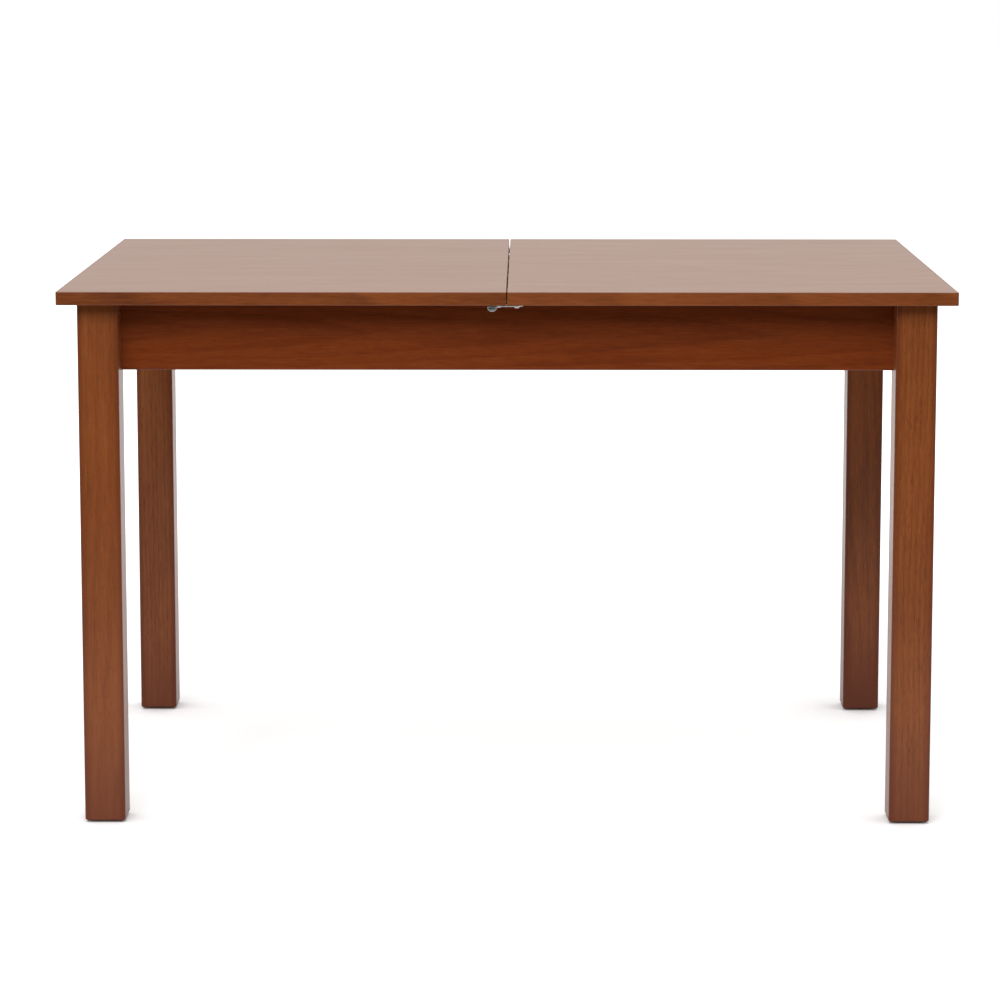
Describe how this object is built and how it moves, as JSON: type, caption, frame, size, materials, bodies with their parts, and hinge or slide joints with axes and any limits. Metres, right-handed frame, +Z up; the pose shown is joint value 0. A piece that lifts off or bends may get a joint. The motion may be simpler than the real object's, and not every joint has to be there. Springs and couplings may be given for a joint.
{
  "type": "extending dining table",
  "caption": "Rectangular wooden dining table on square legs, with a top split across the middle whose halves slide apart on tongued runners over a folding leaf stored below.",
  "frame": {"origin": "on the floor under the middle of the closed table", "axes": "+X along the length of the top, -Y towards the front with the visible hook, +Z up"},
  "size_m": [1.2, 0.8, 0.73],
  "materials": {
    "leg_wood": "reddish brown stain, satin lacquer",
    "apron_wood": "reddish brown stain, satin lacquer",
    "top_wood": "reddish brown veneer, satin lacquer",
    "hidden_timber": "planed hardwood, unstained",
    "dowel_wood": "turned hardwood, unstained",
    "zinc_steel": "bright zinc plate",
    "hook_steel": "stamped steel, zinc plate",
    "hinge_brass": "brass plated",
    "glide_plastic": "dark moulded plastic"
  },
  "bodies": {
    "frame": {"front_left_leg": "leg_wood", "front_right_leg": "leg_wood", "rear_right_leg": "leg_wood", "rear_left_leg": "leg_wood", "foot_glides": "glide_plastic", "front_apron": "apron_wood", "rear_apron": "apron_wood", "left_end_apron": "apron_wood", "right_end_apron": "apron_wood", "front_left_brace": "hidden_timber", "front_right_brace": "hidden_timber", "rear_right_brace": "hidden_timber", "rear_left_brace": "hidden_timber", "hanger_bolts": "zinc_steel", "hanger_washers": "zinc_steel", "hanger_nuts": "zinc_steel", "brace_screws": "zinc_steel", "front_guide_rail": "hidden_timber", "rear_guide_rail": "hidden_timber", "guide_rail_screws": "zinc_steel", "left_leaf_bearer": "hidden_timber", "right_leaf_bearer": "hidden_timber", "left_leaf_fence": "hidden_timber", "right_leaf_fence": "hidden_timber", "leaf_cleats": "hidden_timber", "bearer_brackets": "zinc_steel", "bracket_screws": "zinc_steel"},
    "left_top": {"top_panel_left": "top_wood", "left_front_runner": "hidden_timber", "left_rear_runner": "hidden_timber", "left_runner_screws": "zinc_steel", "left_stop_block": "hidden_timber", "left_stop_screws": "zinc_steel", "front_hook_keeper_screw": "zinc_steel", "rear_hook_pivot_screw": "zinc_steel"},
    "right_top": {"top_panel_right": "top_wood", "right_front_runner": "hidden_timber", "right_rear_runner": "hidden_timber", "right_runner_screws": "zinc_steel", "right_stop_block": "hidden_timber", "right_stop_screws": "zinc_steel", "top_dowels": "dowel_wood", "front_hook_pivot_screw": "zinc_steel", "rear_hook_keeper_screw": "zinc_steel"},
    "front_hook": {"front_hook": "hook_steel"},
    "rear_hook": {"rear_hook": "hook_steel"},
    "leaf": {"leaf_lower_half": "top_wood", "leaf_upper_half": "top_wood", "leaf_dowels": "dowel_wood", "leaf_upper_flaps": "hinge_brass", "leaf_lower_flaps": "hinge_brass", "leaf_hinge_pins": "hinge_brass", "leaf_hinge_screws": "zinc_steel"}
  },
  "joints": [
    {"name": "left_slide", "type": "slide", "parent": "frame", "child": "left_top", "axis": [-1, 0, 0], "range_m": [0, 0.22]},
    {"name": "right_slide", "type": "slide", "parent": "frame", "child": "right_top", "axis": [1, 0, 0], "range_m": [0, 0.22]},
    {"name": "front_hook_swing", "type": "hinge", "parent": "right_top", "child": "front_hook", "pos_m": [0.0135, -0.3865, 0.7105], "axis": [0, 0, 1], "range_deg": [-15, 80]},
    {"name": "rear_hook_swing", "type": "hinge", "parent": "left_top", "child": "rear_hook", "pos_m": [-0.0135, 0.3865, 0.7105], "axis": [0, 0, 1], "range_deg": [-15, 80]},
    {"name": "leaf_lift", "type": "slide", "parent": "frame", "child": "leaf", "axis": [0, 0, 1], "range_m": [0, 0.024]}
  ]
}
